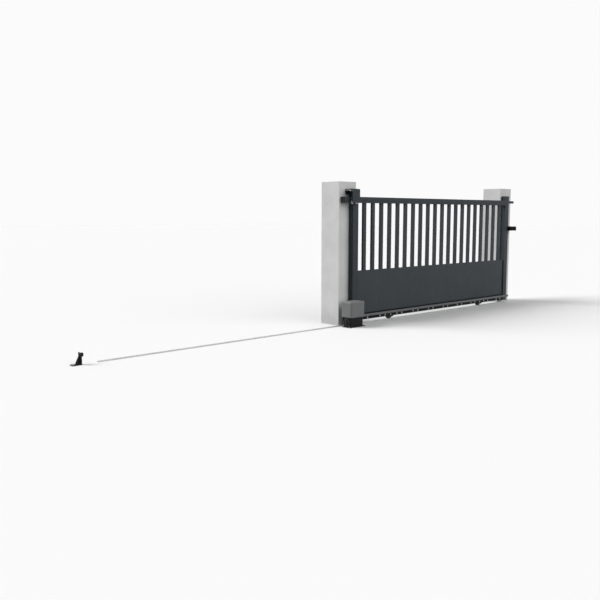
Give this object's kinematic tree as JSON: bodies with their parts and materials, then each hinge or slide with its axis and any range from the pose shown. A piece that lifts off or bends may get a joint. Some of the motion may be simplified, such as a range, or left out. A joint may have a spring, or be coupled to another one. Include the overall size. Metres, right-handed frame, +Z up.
{
  "type": "sliding_gate",
  "caption": "Sliding driveway gate: dark barred metal leaf on a ground track between two rendered piers, driven by a motor with rack and pinion.",
  "frame": {"origin": "centre of the left pier's foot, on the ground", "axes": "+X along the gate towards the right pier, +Y from the garden out to the street, +Z up"},
  "size_m": [7.897, 0.6, 1.88],
  "materials": {
    "masonry": "rendered matt",
    "anthracite": "powder coated",
    "black_steel": "matt paint",
    "galvanised": "zinc coated",
    "black_plastic": "fine grain",
    "grey_plastic": "fine grain",
    "nylon": "smooth",
    "rubber": "matt"
  },
  "bodies": {
    "fixed_frame": {"left_pier": "masonry", "right_pier": "masonry", "ground_track": "galvanised", "guide_bracket": "anthracite", "roller_pins": "galvanised", "guide_pad": "nylon", "closing_catch": "black_plastic", "motor_plate": "black_steel", "motor_housing": "black_plastic", "motor_cover": "grey_plastic", "motor_bell": "black_plastic", "release_knob": "black_plastic", "open_stop": "black_steel", "stop_buffer": "rubber"},
    "leaf": {"left_stile": "anthracite", "right_stile": "anthracite", "left_stile_cap": "black_plastic", "right_stile_cap": "black_plastic", "top_rail": "anthracite", "top_tail": "anthracite", "top_tail_cap": "black_plastic", "mid_rail": "anthracite", "bottom_rail": "anthracite", "bottom_tail": "anthracite", "bottom_tail_cap": "black_plastic", "end_shoe": "black_steel", "lower_panel": "anthracite", "infill_bars": "anthracite", "guide_strip": "anthracite", "rack": "galvanised", "rack_spacers": "galvanised", "left_carriage": "black_steel", "right_carriage": "black_steel", "left_axle": "galvanised", "right_axle": "galvanised"},
    "left_wheel": {"left_wheel": "galvanised"},
    "right_wheel": {"right_wheel": "galvanised"},
    "pinion": {"pinion": "galvanised", "drive_shaft": "galvanised"},
    "guide_roller_left": {"guide_roller_left": "nylon"},
    "guide_roller_right": {"guide_roller_right": "nylon"}
  },
  "joints": [
    {"name": "leaf_slide", "type": "slide", "parent": "fixed_frame", "child": "leaf", "axis": [-1, 0, 0], "range_m": [0, 3.708]},
    {"name": "left_wheel_spin", "type": "hinge", "parent": "leaf", "child": "left_wheel", "pos_m": [0.803, -0.2085, 0.0693], "axis": [0, -1, 0], "continuous": true},
    {"name": "right_wheel_spin", "type": "hinge", "parent": "leaf", "child": "right_wheel", "pos_m": [3.009, -0.2085, 0.0693], "axis": [0, -1, 0], "continuous": true},
    {"name": "pinion_spin", "type": "hinge", "parent": "fixed_frame", "child": "pinion", "pos_m": [-0.08, -0.266, 0.0598], "axis": [0, -1, 0], "continuous": true},
    {"name": "guide_roller_left_spin", "type": "hinge", "parent": "fixed_frame", "child": "guide_roller_left", "pos_m": [-0.031, -0.2683, 1.635], "axis": [0, 0, 1], "continuous": true},
    {"name": "guide_roller_right_spin", "type": "hinge", "parent": "fixed_frame", "child": "guide_roller_right", "pos_m": [0.049, -0.2683, 1.635], "axis": [0, 0, 1], "continuous": true}
  ],
  "couplings": [
    {"joint": "left_wheel_spin", "follows": "leaf_slide", "rad_per_m": 17.857},
    {"joint": "right_wheel_spin", "follows": "leaf_slide", "rad_per_m": 17.857},
    {"joint": "pinion_spin", "follows": "leaf_slide", "rad_per_m": 27.778},
    {"joint": "guide_roller_left_spin", "follows": "leaf_slide", "rad_per_m": 55.556},
    {"joint": "guide_roller_right_spin", "follows": "leaf_slide", "rad_per_m": 55.556}
  ]
}
